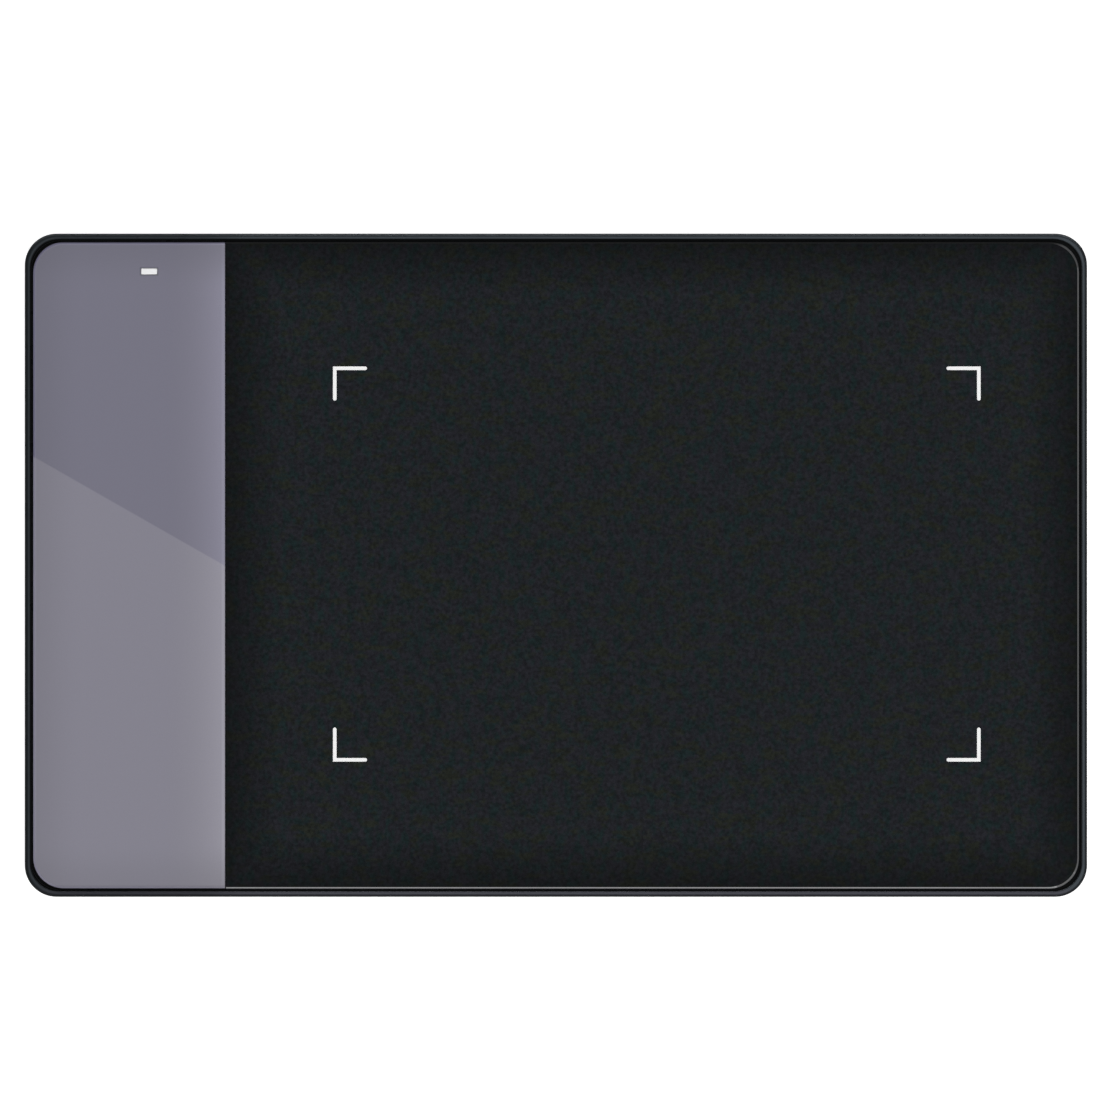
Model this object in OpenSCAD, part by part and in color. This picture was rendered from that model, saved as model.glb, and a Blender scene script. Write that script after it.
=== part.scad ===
// Pen drawing tablet: a thin two-shell case with a drawing sheet, a glossy side panel and a pen sensor.
// Millimetres. The origin is on the desk under the middle, +X points right, +Y away, +Z up.

/* [Outline] */
// Width of the tablet, left to right
tablet_w = 177.8; // [165:0.1:260]
// Depth of the tablet, front to back
tablet_d = 111; // [95:0.1:180]
// Corner radius of the outline
corner_r = 5.3; // [4.5:0.1:9]

/* [Rim and face] */
// Width of the rim bead round the face
rim_w = 0.95; // [0.8:0.05:2]
// Rounding of the rim's outer top edge
rim_outer_r = 0.7; // [0.2:0.05:0.9]
// Rounding of the rim's inner top edge
rim_inner_r = 0.2; // [0.1:0.05:0.5]
// Height of the rim above the face
rim_proud = 0.15; // [0.05:0.05:0.6]
// How much wider than even the rim grows at its corners: added to the radius of its inner edge
rim_corner_ease = 0.45; // [0:0.05:1]
// How much wider than even the groove grows at its corners: added to the radius of the face
face_corner_ease = 0.8; // [0:0.05:2]

/* [Drawing sheet] */
// Thickness of the drawing sheet
sheet_t = 0.35; // [0.3:0.05:0.5]
// Groove between the rim and the drawing sheet
sheet_gap = 0.3; // [0.2:0.05:1]
// Width of the bevel round the drawing sheet
sheet_bevel_w = 0.4; // [0.1:0.05:0.6]
// Height of the bevel round the drawing sheet
sheet_bevel_h = 0.25; // [0.05:0.05:0.25]

/* [Side panel] */
// Width of the side panel
panel_w = 32.1; // [26:0.1:50]
// Thickness of the side panel
panel_t = 0.8; // [0.6:0.05:0.95]
// Groove between the rim and the side panel
panel_gap = 0.5; // [0.2:0.05:1]
// Width of the bevel round the side panel
panel_bevel_w = 0.3; // [0.1:0.05:0.6]
// Height of the bevel round the side panel
panel_bevel_h = 0.2; // [0.05:0.05:0.5]
// Gap between the side panel and the drawing sheet
split_gap = 0.15; // [0.05:0.05:0.5]

/* [Light window] */
// Length of the light window
window_w = 2.65; // [2:0.05:6]
// Width of the light window
window_d = 1; // [0.8:0.05:3]
// Middle of the light window from the tablet's left edge
window_from_left = 20.85; // [16:0.05:26]
// Middle of the light window from the tablet's back edge
window_from_back = 6.35; // [5.5:0.05:12]
// Width of the light guide's flange beyond the window
guide_flange = 0.6; // [0.5:0.05:1]

/* [Corner marks] */
// Marks from the left edge of the drawing sheet
mark_margin_left = 17.9; // [4:0.1:40]
// Marks from the right edge of the drawing sheet
mark_margin_right = 16.6; // [4:0.1:40]
// Marks from the back edge of the drawing sheet
mark_margin_back = 21; // [4:0.1:35]
// Marks from the front edge of the drawing sheet
mark_margin_front = 21.4; // [4:0.1:35]
// Length of each arm of a mark
mark_arm = 5.7; // [2:0.1:15]
// Line width of a mark
mark_line = 0.6; // [0.3:0.05:1.5]
// Thickness of the printed ink
ink_t = 0.03; // [0.02:0.01:0.1]

/* [Case] */
// Thickness of the side walls
wall_t = 1.6; // [1.2:0.1:1.8]
// Thickness of the floor
floor_t = 1.2; // [1:0.1:2.5]
// Thickness of the deck under the drawing sheet
deck_t = 1.15; // [1.05:0.05:2.5]
// Rounding of the bottom edge
bottom_edge_r = 2; // [0.8:0.1:2.2]
// Height of the parting line above the underside
parting_h = 2.5; // [2.3:0.1:3.5]
// Thickness of the lip inside the parting line
lip_t = 0.8; // [0.6:0.1:1.2]
// Height of the lip below the parting line
lip_h = 1; // [0.5:0.1:1.2]
// Height of the shadow line at the parting
reveal_h = 0.25; // [0.1:0.05:0.5]
// Depth of the shadow line at the parting
reveal_depth = 0.35; // [0.1:0.05:0.6]
// Thickness of the floor ribs
rib_t = 0.8; // [0.6:0.1:1.2]
// Height of the floor ribs
rib_h = 0.9; // [0.4:0.1:1.4]
// Diameter of the posts under the circuit board
post_d = 3; // [2:0.1:4]
// Width of the bare label recess
label_w = 62; // [20:1:90]
// Depth of the bare label recess, front to back
label_d = 30; // [10:1:50]
// Corner radius of the label recess
label_corner_r = 2; // [1:0.1:4]
// How deep the label recess is sunk
label_sink = 0.15; // [0.1:0.05:0.4]

/* [Screws] */
// Diameter of the screw thread
screw_d = 2; // [1.6:0.1:2.6]
// Length of the screw under its head
screw_len = 3.2; // [2.4:0.1:3.4]
// Diameter of the screw head
head_d = 3.6; // [3:0.1:4.5]
// Height of the screw head
head_h = 1.2; // [1:0.05:1.6]
// How far the head lies inside the underside
head_sink = 0.2; // [0.1:0.05:0.4]
// Chamfer round the screw head
head_chamfer = 0.3; // [0.1:0.05:0.5]
// Plastic left between the head and the boss
screw_web = 0.8; // [0.6:0.05:1.2]
// Wall of the counterbored screw post
post_wall = 1; // [0.8:0.1:1.5]
// Wall of the threaded boss
boss_wall = 1.3; // [1:0.1:1.8]
// Room beyond the screw's tip
tip_room = 0.2; // [0.1:0.05:0.3]
// Screws from the outline
screw_inset = 7.5; // [7:0.1:10]
// Length of the cross recess
cross_l = 2.1; // [1.5:0.1:2.6]
// Width of the cross recess
cross_w = 0.5; // [0.3:0.05:0.8]
// Depth of the cross recess
cross_deep = 0.7; // [0.4:0.05:0.9]

/* [Feet] */
// Length of a foot
foot_w = 17; // [8:0.5:30]
// Width of a foot
foot_d = 7; // [5.5:0.5:12]
// Corner radius of a foot
foot_corner_r = 2.5; // [1:0.1:2.7]
// Rounding of a foot's rubbing edge
foot_edge_r = 0.3; // [0.1:0.05:0.5]
// Height of the feet below the underside
foot_proud = 0.6; // [0.5:0.05:2]
// How deep the feet are set into the floor
foot_sink = 0.4; // [0.2:0.05:0.6]
// Middle of a foot from the left or right edge
foot_from_side = 26; // [24:0.5:40]
// Middle of a foot from the front or back edge
foot_from_edge = 9; // [8:0.5:16]

/* [Socket] */
// Width of the socket shell
socket_w = 7.5; // [7:0.05:9]
// Height of the socket shell
socket_h = 2.5; // [2.4:0.05:3.3]
// Length of the socket shell
socket_l = 5.6; // [5:0.1:8]
// Sheet thickness of the socket shell
shell_t = 0.25; // [0.2:0.05:0.35]
// Chamfer of the shell's two lower corners
socket_chamfer = 0.8; // [0.5:0.05:1]
// Width of the flared lip round the mouth
flare = 0.25; // [0.1:0.05:0.3]
// Thickness of the flared lip
flare_t = 0.35; // [0.2:0.05:0.5]
// Middle of the socket from the tablet's back edge
socket_from_back = 22; // [18:0.5:28]
// How far the mouth lies inside the outline
mouth_inset = 0.5; // [0.3:0.05:1]
// Length of a solder tab on the shell
tab_l = 1.4; // [1:0.1:2]
// Width of a solder tab beside the shell
tab_w = 0.9; // [0.5:0.1:1.2]
// Width of the contact tongue
tongue_w = 4.4; // [3.8:0.1:5]
// Thickness of the contact tongue
tongue_t = 0.65; // [0.5:0.05:0.8]
// Distance from the mouth to the tongue's tip
tongue_inset = 0.8; // [0.4:0.1:1.2]
// Depth of the solid block behind the tongue
block_l = 1.5; // [1:0.1:2]
// Spacing of the contacts
contact_pitch = 0.65; // [0.6:0.05:0.8]
// Width of a contact
contact_w = 0.3; // [0.2:0.05:0.4]
// Thickness of a contact
contact_t = 0.15; // [0.1:0.05:0.2]
// Length of the contact tails behind the block
contact_tail = 0.9; // [0.6:0.1:1.2]

/* [Circuit board] */
// Thickness of the circuit board
board_t = 0.8; // [0.6:0.1:1.2]
// Thickness of the copper loops
copper_t = 0.05; // [0.03:0.01:0.1]
// Spacing of the copper loops
loop_pitch = 7.5; // [5:0.1:12]
// Width of the copper track
track_w = 0.5; // [0.2:0.1:1]
// Space between neighbouring loops
loop_space = 0.5; // [0.3:0.1:1]
// Loops from the edge of the shield
loop_inset = 1.5; // [1:0.1:5]
// Thickness of the insulating film
film_t = 0.1; // [0.05:0.05:0.2]
// Thickness of the shield plate
shield_t = 0.3; // [0.2:0.05:0.5]
// Shield from the inner edge of the side panel
shield_from_panel = 10; // [8:0.5:20]
// Room between the shield and the screw bosses
shield_room = 2; // [1:0.1:5]
// Corner radius of the shield and the film
shield_corner_r = 3; // [1:0.1:6]
// Length of a foam pad
foam_w = 22; // [10:0.5:30]
// Width of a foam pad
foam_d = 9; // [4:0.5:14]

/* [Electronic parts] */
// Microcontroller body: length, width and height
controller_size = [7, 7, 1.4]; // [0.5:0.05:10]
// Analog switch body: length, width and height
switch_size = [4.4, 5, 1.1]; // [0.5:0.05:8]
// Operational amplifier body: length, width and height
amp_size = [3.9, 4.9, 1.5]; // [0.5:0.05:8]
// Regulator body: length, width and height
regulator_size = [1.6, 2.9, 1.15]; // [0.5:0.05:5]
// Surge protector body: length, width and height
surge_size = [1.6, 2.9, 1.15]; // [0.5:0.05:5]
// Crystal can: length, width and height
crystal_size = [5, 3.2, 1.2]; // [0.5:0.05:8]
// Step between the crystal's base and its can
crystal_rim = 0.2; // [0.1:0.05:0.4]
// Corner radius of the crystal's can
crystal_corner_r = 0.6; // [0.3:0.05:1]
// Thickness of the crystal's base
crystal_base_t = 0.3; // [0.2:0.05:0.5]
// Tantalum capacitor: length, width and height
tantalum_size = [3.2, 1.6, 1.6]; // [0.5:0.05:5]
// Ferrite bead: length, width and height
bead_size = [2, 1.25, 0.9]; // [0.3:0.05:4]
// Ceramic capacitor: length, width and height
ceramic_size = [1.6, 0.8, 0.8]; // [0.3:0.05:3]
// Chip resistor: length, width and height
resistor_size = [1.6, 0.8, 0.5]; // [0.3:0.05:3]
// Status light: length, width and height
led_size = [1.6, 0.8, 0.4]; // [0.3:0.05:2]
// Height of the package bodies above the board
standoff = 0.1; // [0.05:0.05:0.2]
// Reach of a package lead beyond its body
lead_reach = 1; // [0.6:0.05:1.2]
// Thickness of a package lead
lead_t = 0.15; // [0.1:0.05:0.25]

/* [Fits] */
// Gap between the lip and the lower wall
lip_fit = 0.1; // [0.05:0.05:0.3]
// Gap round the circuit board and round the bosses in it
board_fit = 0.3; // [0.1:0.05:0.8]
// Gap between a screw and its hole
screw_fit = 0.04; // [0.02:0.01:0.1]
// Gap between a screw and the post that it passes through
pass_fit = 0.2; // [0.1:0.05:0.4]
// Gap between a screw head and its counterbore
head_fit = 0.3; // [0.1:0.05:0.5]
// Gap round a foot in its recess
foot_fit = 0.1; // [0.05:0.05:0.3]
// Gap between the socket and the floor
socket_room = 0.1; // [0.05:0.05:0.5]
// Gap round the socket's lip in the case
port_fit = 0.2; // [0.1:0.05:0.4]
// Gap between moulded and stamped pieces of the socket
mould_fit = 0.03; // [0.02:0.01:0.06]
// Gap round the light guide and the status light
guide_fit = 0.05; // [0.03:0.01:0.15]
// Thickness of the adhesive films
glue_t = 0.1; // [0.05:0.05:0.2]
// Adhesive from the edge of what it bonds
glue_inset = 0.6; // [0.3:0.1:2]

/* [Hidden] */
$fn = 64;

// Overlap that makes a cut pass right through a face
through = 1;
// Overlap that roots one solid in another
root = 0.1;
// Least flat left on top of the rim
rim_flat = 0.05;

// Heights, from the desk up
case_z = foot_proud;
floor_z = case_z + floor_t;
parting_z = case_z + parting_h;
board_z = floor_z + socket_room + socket_h;
board_top = board_z + board_t;
deck_z = board_top + copper_t;
deck_top = deck_z + deck_t;
face_z = deck_top + glue_t + sheet_t;
rim_z = face_z + rim_proud;
panel_z = face_z - panel_t;
panel_seat_z = panel_z - glue_t;
film_z = board_z - copper_t - film_t;
shield_z = film_z - shield_t;
socket_z = board_z - socket_h / 2;

// Half sizes of the outline, and the edges of the two parts of the face
half_w = tablet_w / 2;
half_d = tablet_d / 2;
panel_right = rim_w + panel_gap + panel_w - half_w;
sheet_left = panel_right + split_gap;
sheet_right = half_w - rim_w - sheet_gap;
sheet_back = half_d - rim_w - sheet_gap;
rim_top_r = min(rim_outer_r, rim_w - rim_inner_r - rim_flat);
rim_corner_r = corner_r - rim_w + rim_corner_ease;
pocket_ledge = panel_gap / 2;

// Corners of the marked area
mark_left = sheet_left + mark_margin_left;
mark_right = sheet_right - mark_margin_right;
mark_back = sheet_back - mark_margin_back;
mark_front = mark_margin_front - sheet_back;

// Light window, and the hole in the deck for the light below it
window_x = window_from_left - half_w;
window_y = half_d - window_from_back;
guide_z = board_top + led_size[2] + guide_fit;

// Circuit board
board_inset = wall_t + lip_fit + lip_t + board_fit;
board_w = tablet_w - 2 * board_inset;
board_d = tablet_d - 2 * board_inset;
board_corner_r = corner_r - board_inset;
board_left = -board_w / 2;

// Screws, their posts and bosses
seat_z = case_z + head_sink + head_h;
web_z = seat_z + screw_web;
boss_r = screw_d / 2 + boss_wall;
pilot_h = seat_z + screw_len + tip_room - web_z;
counterbore_r = head_d / 2 + head_fit;
screw_x = half_w - screw_inset;
screw_y = half_d - screw_inset;
screw_places = [for (x = [-screw_x, 0, screw_x], y = [-screw_y, screw_y]) [x, y]];
post_places = concat(
    [for (x = [-tablet_w / 4, tablet_w / 4], y = [-screw_y, screw_y]) [x, y]],
    [for (x = [-screw_x, screw_x]) [x, -tablet_d / 6]]
);

// Shield, and the field of loops in front of it
shield_left = panel_right + shield_from_panel;
shield_right = screw_x - boss_r - shield_room;
shield_w = shield_right - shield_left;
shield_d = 2 * (screw_y - boss_r - shield_room);
shield_x = (shield_left + shield_right) / 2;
loops_w = shield_w - 2 * loop_inset;
loops_d = shield_d - 2 * loop_inset;

// Foam pads in two rows, between three ribs
foam_places = [for (x = [-1, 0, 1], y = [-1, 1]) [shield_x + x * shield_w / 3, y * shield_d / 5]];
rib_places = [for (y = [-1, 0, 1]) y * shield_d * 2 / 5];

// Feet
foot_x = half_w - foot_from_side;
foot_y = half_d - foot_from_edge;

// Socket
socket_x = mouth_inset - half_w;
socket_y = half_d - socket_from_back;
block_x = socket_l - block_l;
contact_count = 5;

// Places of the parts on the board: from its left edge, and from the tablet's middle or the socket
controller_at = [16, 4];
crystal_at = [27, 4];
switch_at = [31, -38];
switch_step = 10;
switch_count = 4;
amp_at = [19, -31];
amp_step = 11;
amp_count = 2;
surge_at = [11, socket_y];
bead_at = surge_at + [0, 4.5];
regulator_at = surge_at + [11, 0];
tantalum_at = surge_at + [5.5, -4];
tantalum_step = 8;
ceramic_row = [10, 13];
ceramic_step = 4;
ceramic_count = 6;
ceramic_by_switch = [-7, 0];
resistor_row = [9, -12];
resistor_step = 4;
resistor_count = 5;
resistor_by_amp = [-6, 0];

// Leads of the packages: their spacing, and how many stand on a side
fine_pitch = 0.5;
small_pitch = 0.65;
wide_pitch = 1.27;
sot_pitch = 0.95;
controller_leads = 12;
switch_leads = 8;
amp_leads = 4;
sot_leads = 3;

// Proportions of the packages: lead width to its spacing, the lead's flat to its reach, the pin mark to the
// body, a chip's plated end to its length, the lens to its light, and the plating's thickness
lead_share = 0.45;
shoulder_share = 0.4;
dimple_share = 0.07;
cap_share = 0.2;
lens_share = 0.65;
plating = 0.04;

// Basic shapes

// Quarter of a disc, turned by an angle
module quarter_disc(r, turn) {
    rotate(turn)
        intersection() {
            circle(r);
            square(2 * r);
        }
}

// Rectangle between two distances and two heights
module band(x0, x1, z0, z1) {
    translate([x0, z0])
        square([x1 - x0, z1 - z0]);
}

// Sweeps a section round a rounded rectangle: its x is 0 at a corner's centre and r at the outline.
module sweep_round(w, d, r) {
    for (side = [0:3]) {
        along = side % 2 == 0 ? w : d;
        across = side % 2 == 0 ? d : w;
        rotate(90 * side)
            translate([r - along / 2, -across / 2, 0]) {
                rotate([90, 0, 90])
                    linear_extrude(along - 2 * r)
                        translate([r, 0])
                            mirror([1, 0])
                                children();
                translate([0, r, 0])
                    rotate(180)
                        rotate_extrude(angle = 90)
                            children();
            }
    }
}

// Block that fills the middle of a swept rounded rectangle
module middle_block(w, d, r, z0, z1) {
    translate([r - w / 2, r - d / 2, z0])
        cube([w - 2 * r, d - 2 * r, z1 - z0]);
}

// Plate with rounded corners between two heights
module round_plate(w, d, r, z0, z1) {
    sweep_round(w, d, r)
        band(0, r, z0, z1);
    middle_block(w, d, r, z0, z1);
}

// Box that stands on z, centred on x and y
module standing_box(size, z = 0) {
    translate([-size[0] / 2, -size[1] / 2, z])
        cube(size);
}

// Everything to the left or to the right of an x, for cutting the face in two
module half_space(x, side) {
    reach = tablet_w + tablet_d;
    translate([side > 0 ? x : x - reach, -reach / 2, 0])
        cube([reach, reach, rim_z + through]);
}

// Width, depth and corner radius of the face, with a gap between it and the rim
function face_outline(gap) = [
    tablet_w - 2 * (rim_w + gap),
    tablet_d - 2 * (rim_w + gap),
    rim_corner_r - gap + face_corner_ease
];

// Bevelled plate over the whole face, before it is cut down to one part of it
module face_plate(gap, bevel_w, bevel_h, z0, z1) {
    outline = face_outline(gap);
    r = outline[2];
    sweep_round(outline[0], outline[1], r)
        polygon([
            [0, z0],
            [r, z0],
            [r, z1 - bevel_h],
            [r - bevel_w, z1],
            [0, z1]
        ]);
    middle_block(outline[0], outline[1], r, z0, z1);
}

// Film of adhesive under the whole face, before it is cut down to one part of it
module face_film(gap, z) {
    outline = face_outline(gap + glue_inset);
    round_plate(outline[0], outline[1], outline[2], z, z + glue_t);
}

// Outline of the socket, grown all round: flat towards the board, chamfered below
module socket_outline(grow) {
    w = socket_w / 2 + grow;
    h = socket_h / 2 + grow;
    chamfer = socket_chamfer + (2 - sqrt(2)) * grow;
    polygon([
        [-w, h],
        [-w, chamfer - h],
        [chamfer - w, -h],
        [w - chamfer, -h],
        [w, chamfer - h],
        [w, h]
    ]);
}

// Prism of the socket's outline, from one distance behind the mouth to another
module socket_prism(grow, x0, x1) {
    translate([socket_x + x0, socket_y, socket_z])
        rotate([90, 0, 90])
            linear_extrude(x1 - x0)
                socket_outline(grow);
}

// The opening for the socket in both shells
module port_cut() {
    socket_prism(flare + port_fit, -mouth_inset - through, board_inset - mouth_inset + board_fit);
}

// Puts a part under the board, hanging from its lower face
module under_board(at) {
    translate([board_left + at[0], at[1], board_z])
        mirror([0, 0, 1])
            children();
}

// One row of bent leads along y, beside a package body
module lead_row(count, pitch, edge, height) {
    shoulder = lead_reach * shoulder_share;
    lead_w = pitch * lead_share;
    for (i = [0:count - 1])
        translate([0, (i - (count - 1) / 2) * pitch + lead_w / 2, 0])
            rotate([90, 0, 0])
                linear_extrude(lead_w)
                    polygon([
                        [edge - root, height / 2],
                        [edge + shoulder, height / 2],
                        [edge + shoulder, 0],
                        [edge + lead_reach, 0],
                        [edge + lead_reach, lead_t],
                        [edge + shoulder + lead_t, lead_t],
                        [edge + shoulder + lead_t, height / 2 + lead_t],
                        [edge - root, height / 2 + lead_t]
                    ]);
}

// Moulded package with leads on its two x sides and, if asked, on its two y sides
module package(size, count, pitch, four_sides = false) {
    dimple_r = min(size[0], size[1]) * dimple_share;
    difference() {
        standing_box([size[0], size[1], size[2] - standoff], standoff);
        translate([3 * dimple_r - size[0] / 2, size[1] / 2 - 3 * dimple_r, size[2] - root])
            cylinder(h = through, r = dimple_r);
    }
    for (turn = [0, 180]) {
        rotate(turn)
            lead_row(count, pitch, size[0] / 2, size[2]);
        if (four_sides)
            rotate(turn + 90)
                lead_row(count, pitch, size[1] / 2, size[2]);
    }
}

// Two-ended chip with plated ends that stand a little proud of its body
module chip(size) {
    cap = size[0] * cap_share;
    standing_box([size[0] - cap, size[1] - 2 * plating, size[2] - 2 * plating], plating);
    for (side = [-1, 1])
        translate([side * (size[0] - cap) / 2, 0, 0])
            standing_box([cap, size[1], size[2]]);
}

// Case

// Section of the lower shell at its edge
module bottom_section() {
    edge_x = corner_r - bottom_edge_r;
    difference() {
        union() {
            translate([edge_x, case_z + bottom_edge_r])
                quarter_disc(bottom_edge_r, 270);
            band(0, edge_x, case_z, case_z + bottom_edge_r);
            band(0, corner_r, case_z + bottom_edge_r, parting_z);
        }
        band(-through, corner_r - wall_t, floor_z, parting_z + through);
        band(corner_r - reveal_depth, corner_r + through, parting_z - reveal_h, parting_z + through);
    }
}

// Lower shell
module bottom_case() {
    color("#1a1b1d")
        difference() {
            union() {
                sweep_round(tablet_w, tablet_d, corner_r)
                    bottom_section();
                middle_block(tablet_w, tablet_d, corner_r, case_z, floor_z);
                for (at = screw_places)
                    translate([at[0], at[1], case_z])
                        cylinder(h = web_z - case_z, r = counterbore_r + post_wall);
                for (at = post_places)
                    translate([at[0], at[1], floor_z - root])
                        cylinder(h = board_z - floor_z + root, d = post_d);
                for (y = rib_places)
                    translate([shield_x, y, 0])
                        standing_box([shield_w, rib_t, rib_h + root], floor_z - root);
            }
            for (at = screw_places)
                translate([at[0], at[1], case_z - through]) {
                    cylinder(h = seat_z - case_z + through, r = counterbore_r);
                    cylinder(h = web_z - case_z + 2 * through, r = screw_d / 2 + pass_fit);
                }
            for (x = [-foot_x, foot_x], y = [-foot_y, foot_y])
                translate([x, y, 0])
                    round_plate(
                        foot_w + 2 * foot_fit, foot_d + 2 * foot_fit, foot_corner_r + foot_fit,
                        case_z - through, case_z + foot_sink
                    );
            round_plate(label_w, label_d, label_corner_r, case_z - through, case_z + label_sink);
            port_cut();
        }
}

// Section of the upper shell at its edge, before the face's recess is cut
module top_section() {
    lip_x = corner_r - wall_t - lip_fit;
    edge_x = corner_r - rim_top_r;
    band(lip_x - lip_t, lip_x, parting_z - lip_h, parting_z);
    band(lip_x - lip_t, edge_x, parting_z, deck_z);
    band(0, edge_x, deck_z, rim_z);
    band(edge_x, corner_r, parting_z, rim_z - rim_top_r);
    translate([edge_x, rim_z - rim_top_r])
        quarter_disc(rim_top_r, 0);
}

// Section of the recess for the face at its edge, rounded over at the top of the rim
module recess_section() {
    difference() {
        union() {
            band(0, rim_corner_r, deck_top, rim_z + through);
            band(0, rim_corner_r + rim_inner_r, rim_z - rim_inner_r, rim_z + through);
        }
        translate([rim_corner_r + rim_inner_r, rim_z - rim_inner_r])
            quarter_disc(rim_inner_r, 90);
    }
}

// Recess for the face inside the rim
module face_recess() {
    w = tablet_w - 2 * rim_w;
    d = tablet_d - 2 * rim_w;
    sweep_round(w + 2 * rim_inner_r, d + 2 * rim_inner_r, rim_corner_r + rim_inner_r)
        recess_section();
    middle_block(w, d, rim_corner_r, deck_top, rim_z + through);
}

// Upper shell
module top_cover() {
    color("#202224")
        difference() {
            union() {
                sweep_round(tablet_w, tablet_d, corner_r)
                    top_section();
                middle_block(tablet_w, tablet_d, corner_r, deck_z, rim_z);
                for (at = screw_places)
                    translate([at[0], at[1], web_z])
                        cylinder(h = deck_z - web_z + root, r = boss_r);
            }
            face_recess();
            intersection() {
                round_plate(
                    tablet_w - 2 * (rim_w + pocket_ledge), tablet_d - 2 * (rim_w + pocket_ledge),
                    rim_corner_r - pocket_ledge, panel_seat_z, deck_top + through
                );
                half_space(panel_right + split_gap / 2, -1);
            }
            translate([window_x, window_y, 0]) {
                standing_box(guide_flange_size(guide_fit, through), guide_z);
                standing_box([
                    led_size[0] + 4 * guide_fit,
                    led_size[1] + 4 * guide_fit,
                    deck_top - deck_z + through
                ], deck_z - through);
            }
            for (at = screw_places)
                translate([at[0], at[1], web_z - through])
                    cylinder(h = pilot_h + through, r = screw_d / 2 + screw_fit);
            port_cut();
        }
}

// Face

// Matte drawing surface
module drawing_sheet() {
    color("#212426")
        intersection() {
            face_plate(sheet_gap, sheet_bevel_w, sheet_bevel_h, face_z - sheet_t, face_z);
            half_space(sheet_left, 1);
        }
}

// Film that bonds the drawing surface to the deck
module sheet_adhesive() {
    color("#d8d4c8")
        intersection() {
            face_film(sheet_gap, deck_top);
            half_space(sheet_left + glue_inset, 1);
        }
}

// One printed corner mark, with its outer corner at the origin and round free ends
module corner_mark() {
    arm = mark_arm - mark_line / 2;
    for (flip = [0, 1])
        mirror([flip, -flip, 0]) {
            cube([arm, mark_line, ink_t]);
            translate([arm, mark_line / 2, 0])
                rotate(-90)
                    rotate_extrude(angle = 180)
                        square([mark_line / 2, ink_t]);
        }
}

// Four printed marks at the corners of the active area
module active_area_marks() {
    color("white")
        for (x = [0, 1], y = [0, 1])
            translate([x > 0 ? mark_right : mark_left, y > 0 ? mark_back : mark_front, face_z])
                mirror([x, 0, 0])
                    mirror([0, y, 0])
                        corner_mark();
}

// Glossy panel with the light window
module side_panel() {
    color("#7f7d8b")
        difference() {
            intersection() {
                face_plate(panel_gap, panel_bevel_w, panel_bevel_h, panel_z, face_z);
                half_space(panel_right, -1);
            }
            translate([window_x, window_y, 0])
                standing_box(
                    [window_w + 2 * guide_fit, window_d + 2 * guide_fit, panel_t + 2 * through],
                    panel_z - through
                );
        }
}

// Film that bonds the panel to its seat, open round the light window
module panel_adhesive() {
    color("#d8d4c8")
        difference() {
            intersection() {
                face_film(panel_gap, panel_seat_z);
                half_space(panel_right - glue_inset, -1);
            }
            translate([window_x, window_y, 0])
                standing_box(guide_flange_size(guide_fit, glue_t + 2 * through), panel_seat_z - through);
        }
}

// Size of the light guide's flange with a gap round it and a height
function guide_flange_size(gap, height) = [
    window_w + 2 * guide_flange + 2 * gap,
    window_d + 2 * guide_flange + 2 * gap,
    height
];

// Clear guide that carries the light up to the panel's face
module light_guide() {
    color("#e8e8ea")
        translate([window_x, window_y, 0]) {
            standing_box(guide_flange_size(0, panel_seat_z - guide_z), guide_z);
            standing_box([window_w, window_d, face_z - guide_z], guide_z);
        }
}

// Pen sensor

// Circuit board with clearance holes for the bosses
module sensor_board() {
    color("#1f5a3a")
        difference() {
            round_plate(board_w, board_d, board_corner_r, board_z, board_top);
            for (at = screw_places)
                translate([at[0], at[1], board_z - through])
                    cylinder(h = board_t + 2 * through, r = boss_r + board_fit);
        }
}

// Flat copper loop
module loop(w, d, z) {
    difference() {
        standing_box([w, d, copper_t], z);
        standing_box([w - 2 * track_w, d - 2 * track_w, copper_t + 2 * through], z - through);
    }
}

// Loops side by side under the board
module antenna_loops_x() {
    count = floor(loops_w / loop_pitch);
    color("#b87333")
        for (i = [0:count - 1])
            translate([shield_x + (i - (count - 1) / 2) * loop_pitch, 0, 0])
                loop(loop_pitch - loop_space, loops_d, board_z - copper_t);
}

// Loops one above the other on the board
module antenna_loops_y() {
    count = floor(loops_d / loop_pitch);
    color("#b87333")
        for (i = [0:count - 1])
            translate([shield_x, (i - (count - 1) / 2) * loop_pitch, 0])
                loop(loops_w, loop_pitch - loop_space, board_top);
}

// Film between the loops and the shield
module insulating_film() {
    color("#c8a24a")
        translate([shield_x, 0, 0])
            round_plate(shield_w, shield_d, shield_corner_r, film_z, film_z + film_t);
}

// Steel sheet behind the loops
module shield_plate() {
    color("silver")
        translate([shield_x, 0, 0])
            round_plate(shield_w, shield_d, shield_corner_r, shield_z, film_z);
}

// Pads between the floor and the shield
module foam_pads() {
    color("#3a3a3c")
        for (at = foam_places)
            translate([at[0], at[1], 0])
                standing_box([foam_w, foam_d, shield_z - floor_z], floor_z);
}

// Parts on the board

// Chip light under the guide
module status_led() {
    lens_l = led_size[0] * lens_share;
    base_t = led_size[2] / 2;
    color("#f4f1d8")
        translate([window_x, window_y, board_top]) {
            standing_box([led_size[0], led_size[1], base_t]);
            standing_box([lens_l, led_size[1], led_size[2]]);
        }
}

// Square chip that runs the tablet
module microcontroller() {
    color("#222222")
        under_board(controller_at)
            package(controller_size, controller_leads, fine_pitch, true);
}

// Chips that pick one loop at a time
module analog_switches() {
    color("#222222")
        for (i = [0:switch_count - 1])
            under_board(switch_at + [0, i * switch_step])
                package(switch_size, switch_leads, small_pitch);
}

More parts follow.
